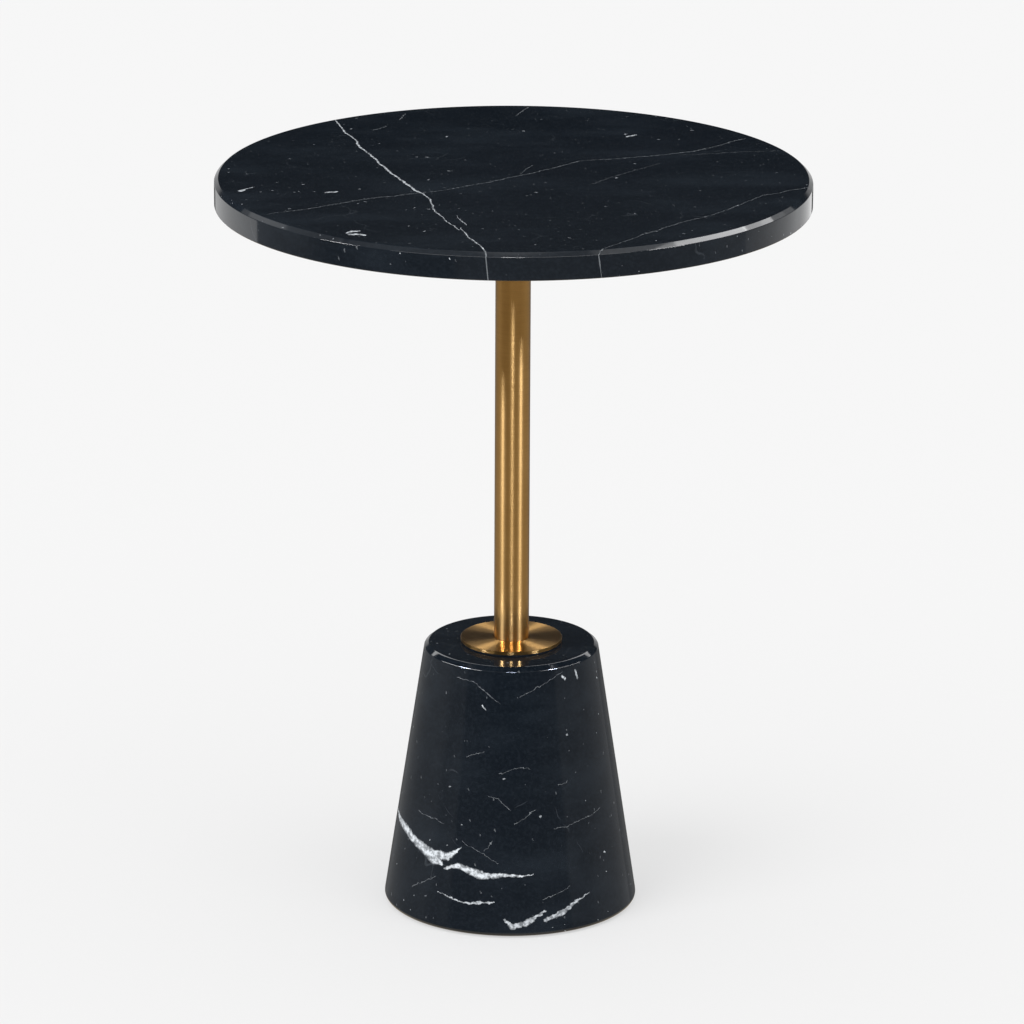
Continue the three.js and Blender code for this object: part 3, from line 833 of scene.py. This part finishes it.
shoulder = (0.145, -0.152, 0.537)
softbox_width = 0.055
slanting_card("softbox_start", (0.381, -0.236, 0.972), (0.415, -0.158, 0.936), softbox_width, 3, shoulder)
slanting_card("right_softbox", (0.415, -0.158, 0.936), (0.512, 0.064, 0.834), softbox_width, 8, shoulder)
slanting_card("softbox_fade", (0.510, 0.059, 0.836), (0.519, 0.181, 0.772), softbox_width, 4, shoulder)


def broad_sun(name, turn, rise, strength, spread, blockers):
    """A sun as wide as a big softbox, shaded only by the blockers, and seen in no mirror."""
    bpy.ops.object.light_add(type="SUN", location=toward(turn, rise) * 3)
    sun = bpy.context.object
    sun.name = name
    sun.rotation_euler = toward(turn, rise).to_track_quat("Z", "Y").to_euler()
    sun.data.energy = strength
    sun.data.angle = math.radians(spread)
    sun.visible_glossy = False
    sun.light_linking.blocker_collection = blockers


broad_sun("left_sun", -48, 42, 1.60, 38, only_base)
broad_sun("right_sun", 48, 48, 0.65, 42, only_base)

world = bpy.data.worlds.new("pale_room")
bpy.context.scene.world = world
world.use_nodes = True
room = world.node_tree
room.nodes.clear()


def wire(kind, *inputs, **settings):
    """Adds a node to the room, joining each socket or value that it is given."""
    node = room.nodes.new(kind)
    for key, value in settings.items():
        setattr(node, key, value)
    for place, value in enumerate(inputs):
        if isinstance(value, bpy.types.NodeSocket):
            room.links.new(value, node.inputs[place])
        else:
            node.inputs[place].default_value = value
    return node.outputs[0]


def sums(operation, *inputs):
    return wire("ShaderNodeMath", *inputs, operation=operation)


def window(value, low, high, edge):
    """1 between two limits, falling smoothly to 0 over an edge outside each."""
    rise = wire("ShaderNodeMapRange", value, low - edge, low, 0.0, 1.0,
                interpolation_type="SMOOTHSTEP")
    fall = wire("ShaderNodeMapRange", value, high, high + edge, 1.0, 0.0,
                interpolation_type="SMOOTHSTEP")
    return sums("MULTIPLY", rise, fall)


heading = room.nodes.new("ShaderNodeTexCoord").outputs["Generated"]
split = room.nodes.new("ShaderNodeSeparateXYZ")
room.links.new(heading, split.inputs[0])
turned = sums("DEGREES", sums("ARCTAN2", split.outputs[0], sums("MULTIPLY", split.outputs[1], -1.0)))
risen = sums("DEGREES", sums("ARCSINE", split.outputs[2]))
# Each card of light in the mirrored room: turn and rise limits in degrees, edge, radiance.
cards = [
    (-95, 95, 30, 90, 8, 0.36),
    (-200, 200, 78, 90, 5, 0.9),
    (-200, 200, -90, -4, 4, 0.12),
    (-200, -60, -5, 2, 6, 0.11),
    (60, 200, -5, 2, 6, 0.11),
    (-20, 140, -25, -10, 3, 0.10),
    (90, 152, -90, 2, 18, 0.05),
    (-152, -90, -90, 2, 18, 0.10),
    (-200, -152, -9, 7, 4, 0.40),
    (152, 200, -9, 7, 4, 0.40),
    (62, 94, 53, 66, 6, 0.8),
]
# The dark wall that the flat tops mirror is a little paler higher up.
mirrored = wire("ShaderNodeMapRange", risen, 13.6, 15.0, 0.006, 0.030)
for left, right, low, high, edge, radiance in cards:
    share = sums("MULTIPLY", window(turned, left, right, edge), window(risen, low, high, edge))
    mirrored = sums("MULTIPLY_ADD", share, radiance, mirrored)
warm = sums("MULTIPLY", window(risen, -90, -25, 5), 0.56)


def room_light(brightness, colour=(1, 1, 1, 1)):
    node = room.nodes.new("ShaderNodeBackground")
    if isinstance(brightness, bpy.types.NodeSocket):
        room.links.new(brightness, node.inputs["Strength"])
    else:
        node.inputs["Strength"].default_value = brightness
    node.inputs["Color"].default_value = colour
    return node.outputs[0]


rays = room.nodes.new("ShaderNodeLightPath")
reflected = wire("ShaderNodeAddShader", room_light(mirrored), room_light(warm, (1, 0.83, 0.57, 1)))
not_camera = wire("ShaderNodeMixShader", rays.outputs["Is Glossy Ray"], room_light(1.0), reflected)
everything = wire("ShaderNodeMixShader", rays.outputs["Is Camera Ray"], not_camera, room_light(0.92))
world_out = room.nodes.new("ShaderNodeOutputWorld")
room.links.new(everything, world_out.inputs[0])

scene = bpy.context.scene
scene.view_settings.view_transform = "Standard"
